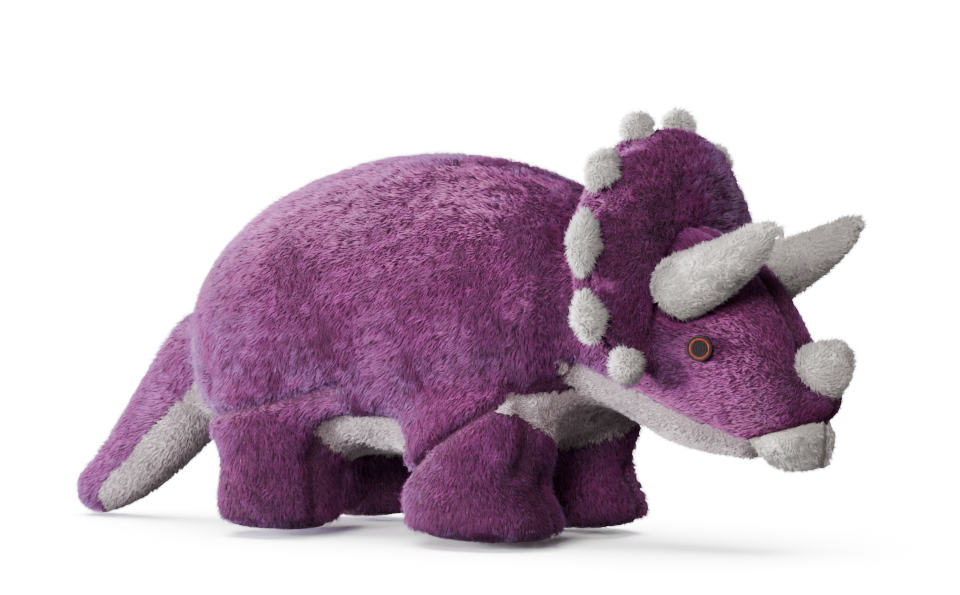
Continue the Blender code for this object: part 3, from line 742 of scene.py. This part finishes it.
FRILL_PANELS = ["frill_front_panel", "frill_back_panel"]
FRILL_FULLER = 5.5 * MM  # how much the front's padding adds, and the back's as a share of that
FRILL_BACK_SHARE = 0.6
FRILL_TILT = math.radians(3)
FRILL_UP = 21 * MM  # from the neck's height to the frill's middle
FRILL_FRONT = Vector((math.cos(FRILL_TILT), 0, math.sin(FRILL_TILT)))
FRILL_SEAM = NECK + FORWARD * 39 * MM + Vector((-math.sin(FRILL_TILT), 0, math.cos(FRILL_TILT))) * FRILL_UP
FRILL_LOW, FRILL_HIGH = (Vector(corner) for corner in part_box("frill_padding"))
FRILL_CENTRE = Vector(((FRILL_LOW.x + FRILL_HIGH.x) / 2, 0, NECK.z + FRILL_UP))
FRILL_CURL = 16 * MM  # how far its ends bend forward, over FRILL_CURL_DOWN below the neck's height
FRILL_CURL_DOWN = 26 * MM
BUMP_SET_IN = 3 * MM  # how far the bumps sink into the rim


def outward_comb(points):
    """Away from the middle of the frill."""
    way = points - np.array(FRILL_CENTRE)
    way[:, 0] = 0
    return unit(way) + np.array([0, 0, -0.5])


def curl(form, way):
    """Bends the frill's lower ends forward to the cheeks, or back again."""
    points = points_of(form.data)
    depth = np.clip((NECK.z - points[:, 2]) / FRILL_CURL_DOWN, 0, 1.2)
    points[:, 0] += way * FRILL_CURL * depth**2
    set_points(form.data, points)


def make_frill():
    # The cloth closes on the head all round, so the frill's padding reaches into it.
    collar = [(FRILL_SEAM - UP * 11 * MM, (7 * MM, 45 * MM, 40 * MM))]
    form = skin("frill", [*FRILL_PANELS, "frill_padding"], 3.6 * MM, 3 * MM, 1.6 * MM, 3.5 * MM, collar)
    curl(form, -1)
    sew(form, [(FRILL_SEAM, FRILL_FRONT, lambda at: np.ones(len(at), bool))])
    # The front is padded more than the back, and hides the rim's seam on its far side.
    points = points_of(form.data)
    ahead = (points - np.array(FRILL_SEAM)) @ np.array(FRILL_FRONT)
    for fuller, side in ((FRILL_FULLER, 1), (FRILL_FULLER * FRILL_BACK_SHARE, -1)):
        share = np.clip(side * ahead / (5 * MM), 0, 1) ** 0.7
        points += np.array(FRILL_FRONT) * (side * fuller * share)[:, None]
    set_points(form.data, points)
    curl(form, 1)
    cover(
        form,
        FRILL_PANELS,
        lambda name: lambda piece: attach(piece, "head"),
        lambda name: outward_comb,
        lambda name: {"length": 0.8, "lean": 1.1},
    )
    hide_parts("frill_padding")
    bumps = [f"frill_bump_{side}_{number}" for side, _ in SIDES for number in range(1, 6)]
    for name in bumps:
        form = skin(f"{name} form", [name], 1.6 * MM, 0.0, 1.3 * MM, 0.8 * MM)
        centre = (Vector(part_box(name)[0]) + Vector(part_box(name)[1])) / 2
        way = centre - FRILL_CENTRE
        away = Vector((0, way.y, way.z)).normalized()
        form.data.transform(Matrix.Translation(-away * BUMP_SET_IN))

        def comb(points, centre=centre, away=away):
            return unit(points - np.array(centre)) + 0.5 * np.array(away)

        cover(
            form,
            [name],
            lambda name: lambda piece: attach(piece, "head"),
            lambda name, comb=comb: comb,
            lambda name: {"length": 0.8, "density": 1.7, "lean": 0.8, "ruffle": 0.9, "width": 1.2},
        )


# ---------------------------------------------------------------- horns

HORN_FULLER = 1.4 * MM  # let out at the base
HORN_SLIMMER = 4.6 * MM  # taken in from base to tip


def taper(form, base, way):
    """Draws a horn in towards its tip and lets it out at its base."""
    points = points_of(form.data)
    axis = np.array(way)
    along = (points - np.array(base)) @ axis
    out = points - np.array(base) - along[:, None] * axis
    share = np.clip(along / along.max(), 0, 1)[:, None]
    set_points(form.data, points + unit(out) * (HORN_FULLER - HORN_SLIMMER * share))


def make_horns():
    for name in HORNS:
        low, high = (Vector(corner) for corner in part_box(f"{name}_stuffing"))
        base = pivot(name)
        middle = (low + high) / 2
        way = (middle - base).normalized()
        nodes = [f"{name}_cover", f"{name}_stuffing"]
        form = skin(f"{name} form", nodes, 2.6 * MM, 1.5 * MM, 0.2 * MM, 2.0 * MM)
        taper(form, base, way)
        cover(
            form,
            [f"{name}_cover"],
            lambda _, name=name: lambda piece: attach(piece, name),
            lambda _, way=way: toward(*way),
            lambda _: {"length": 0.75, "density": 1.4, "lean": 1.0, "ruffle": 0.9, "width": 1.2},
        )
        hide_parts(f"{name}_stuffing")


# ---------------------------------------------------------------- eyes


def eye_centre(side):
    low, high = (Vector(corner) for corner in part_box(f"pupil_{side}"))
    return (low + high) / 2


def stitches(name, places, long, fibre, turned, tall=0.7 * MM, wide=0.5 * MM):
    """Satin stitches, each a slim closed bead of thread, at these places and angles around the eye."""
    bm = bmesh.new()
    bmesh.ops.create_uvsphere(bm, u_segments=8, v_segments=6, radius=0.5)
    bmesh.ops.scale(bm, vec=(wide, tall, long), verts=bm.verts)
    bmesh.ops.rotate(bm, matrix=Matrix.Rotation(math.pi / 2, 3, "Y"), verts=bm.verts)
    bead = bpy.data.meshes.new(name)
    bm.to_mesh(bead)
    bm.free()
    bm = bmesh.new()
    for x, y, lift, angle in places:
        before = len(bm.verts)
        bm.from_mesh(bead)
        bm.verts.ensure_lookup_table()
        move = turned @ Matrix.Translation((x, y, lift)) @ Matrix.Rotation(angle, 4, "Z")
        bmesh.ops.transform(bm, matrix=move, verts=bm.verts[before:])
    mesh = bpy.data.meshes.new(name)
    bm.to_mesh(mesh)
    bm.free()
    made = new_object(name, mesh)
    made.data.materials.append(fibre)
    only(made)
    bpy.ops.object.shade_smooth()
    return made


def ring_places(radius, count, lift):
    return [
        (radius * math.cos(turn), radius * math.sin(turn), lift, turn)
        for turn in (math.tau * number / count for number in range(count))
    ]


def make_eyes():
    """Embroidered eyes: black outline, orange ring and black pupil, in satin stitch on a stiff patch."""
    for side, sign in SIDES:
        outline = [Vector(corner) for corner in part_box(f"eye_outline_{side}")]
        centre = eye_centre(side)
        face = frame["nodes"][f"pupil_{side}"].data

        def flat_area(normal, face=face):
            return sum(polygon.area for polygon in face.polygons if polygon.normal.dot(normal) > 0.999)

        sides = [Vector(polygon.normal) for polygon in face.polygons if polygon.normal.y * sign > 0.8]
        outward = max(sides, key=flat_area)
        top = max((vert.co - centre).dot(outward) for vert in face.vertices)
        size = (outline[1].z - outline[0].z) / 2
        facing = outward.to_track_quat("Z", "Y").to_matrix().to_4x4()
        turned = Matrix.Translation(centre + outward * top) @ facing
        outer = ring_places(size * 0.89, 84, -0.1 * MM)
        inner = ring_places(size * 0.72, 70, 0.05 * MM)
        rows = []
        reach = size * 0.62
        for number in range(-7, 8):
            y = number * reach / 7.5
            half = math.sqrt(reach**2 - y**2)
            steps = max(1, round(half / (0.55 * MM)))
            rows += [
                (half * (2 * step + 1 - steps) / steps, y, 0.1 * MM * ((step + number) % 2), 0.35)
                for step in range(steps)
            ]
        ringed = stitches(f"eye_outline_stitching_{side}", outer, size * 0.24, BLACK_THREAD, turned)
        orange = stitches(
            f"eye_ring_stitching_{side}", inner, size * 0.16, ORANGE_THREAD, turned, tall=0.8 * MM
        )
        pupil = stitches(f"pupil_stitching_{side}", rows, 1.5 * MM, BLACK_THREAD, turned)
        pieces = (
            (f"eye_outline_{side}", ringed, "black_thread"),
            (f"eye_ring_{side}", orange, "orange_thread"),
            (f"pupil_{side}", pupil, "black_thread"),
        )
        for node_name, piece, slot in pieces:
            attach(piece, "head")
            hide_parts(node_name)
        bpy.ops.object.select_all(action="DESELECT")
        bpy.ops.mesh.primitive_cylinder_add(vertices=48, radius=size * 0.99, depth=5 * MM)
        patch = bpy.context.object
        patch.name = f"eye_patch_{side}"
        patch.data.transform(turned @ Matrix.Translation((0, 0, -2.75 * MM)))
        finish(patch, "BEVEL", width=0.4 * MM, segments=2, limit_method="ANGLE")
        patch.data.materials.append(BLACK_THREAD)
        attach(patch, "head")


# ---------------------------------------------------------------- studio


CAMERA_AWAY = 2.4
CAMERA_AZIMUTH = math.radians(30)
CAMERA_ELEVATION = math.radians(3.2)


def plain(name, code):
    made, _, shader = material(name, Roughness=0.9)
    shader.inputs["Base Color"].default_value = colour(code)
    return made


def area_light(name, place, size, power, tint, target):
    lamp = bpy.data.lights.new(name, "AREA")
    lamp.shape = "DISK"
    lamp.size = size
    lamp.energy = power
    lamp.color = colour(tint)[:3]
    obj = new_object(name, lamp)
    obj.location = place
    obj.rotation_euler = (Vector(target) - Vector(place)).to_track_quat("-Z", "Y").to_euler()


def make_studio():
    azimuth, elevation = CAMERA_AZIMUTH, CAMERA_ELEVATION
    level = Vector((math.sin(azimuth), -math.cos(azimuth), 0))
    back = level * math.cos(elevation) + UP * math.sin(elevation)
    right = Vector((math.cos(azimuth), math.sin(azimuth), 0))
    up = back.cross(right)
    camera = new_object("camera", bpy.data.cameras.new("camera"))
    camera.data.lens = 199.3
    camera.data.sensor_width = 36.0
    camera.data.clip_end = 50.0
    aim = Vector((6.8 * MM, 0, 95 * MM)) + right * 7.45 * MM + up * 12.4 * MM
    turn = Matrix((right, up, back)).transposed().to_4x4()
    camera.matrix_world = Matrix.Translation(aim + back * CAMERA_AWAY) @ turn
    bpy.context.scene.camera = camera

    bpy.ops.object.select_all(action="DESELECT")
    bpy.ops.mesh.primitive_plane_add(size=38.0, location=(0, 0, -0.5 * MM))
    floor = bpy.context.object
    floor.name = "studio_floor"
    floor.data.materials.append(plain("white studio paper", "#f4f4f4"))
    bpy.ops.mesh.primitive_uv_sphere_add(segments=48, ring_count=24, radius=18.0)
    backdrop = bpy.context.object
    backdrop.name = "studio_backdrop"
    glow = plain("white studio backdrop, lit from behind", "#ffffff")
    shader = glow.node_tree.nodes["Principled BSDF"]
    shader.inputs["Emission Color"].default_value = colour("#ffffff")
    shader.inputs["Emission Strength"].default_value = 18.0
    backdrop.data.materials.append(glow)
    backdrop.visible_shadow = False
    # Paper and backdrop are lit apart from the toy, and throw no light back on it.
    for piece in (floor, backdrop):
        piece.visible_diffuse = False
        piece.visible_glossy = False
    paper = bpy.data.collections.new("paper")
    paper.objects.link(floor)

    world = bpy.context.scene.world or bpy.data.worlds.new("world")
    bpy.context.scene.world = world
    world.use_nodes = True
    sky = world.node_tree.nodes["Background"]
    sky.inputs["Color"].default_value = colour("#fff4fb")
    sky.inputs["Strength"].default_value = 0.25

    area_light("key", tuple(-right * 1.7 + back * 0.7 + UP * 0.3), 0.5, 120.0, "#fff8ff", (0, 0, 0.08))
    area_light("rim", tuple(-right * 1.6 - back * 0.8 + UP * 0.35), 0.5, 46.0, "#d3c2ff", (0, 0, 0.1))
    area_light("fill", tuple(-right * 0.4 + back * 1.9 + UP * 0.7), 0.6, 46.0, "#fff6f8", (0, 0, 0.1))
    area_light("behind", tuple(right * 1.1 - back * 1.5 + UP * 1.0), 0.7, 26.0, "#f4efff", (0, 0, 0.1))
    sweep = bpy.data.lights.new("sweep", "SUN")
    sweep.energy = 60.0
    sweep.angle = math.radians(70)
    sun = new_object("sweep", sweep)
    sun.location = (0, 0, 3)
    sun.light_linking.receiver_collection = paper


make_skin()
make_frill()
make_horns()
make_eyes()
make_studio()
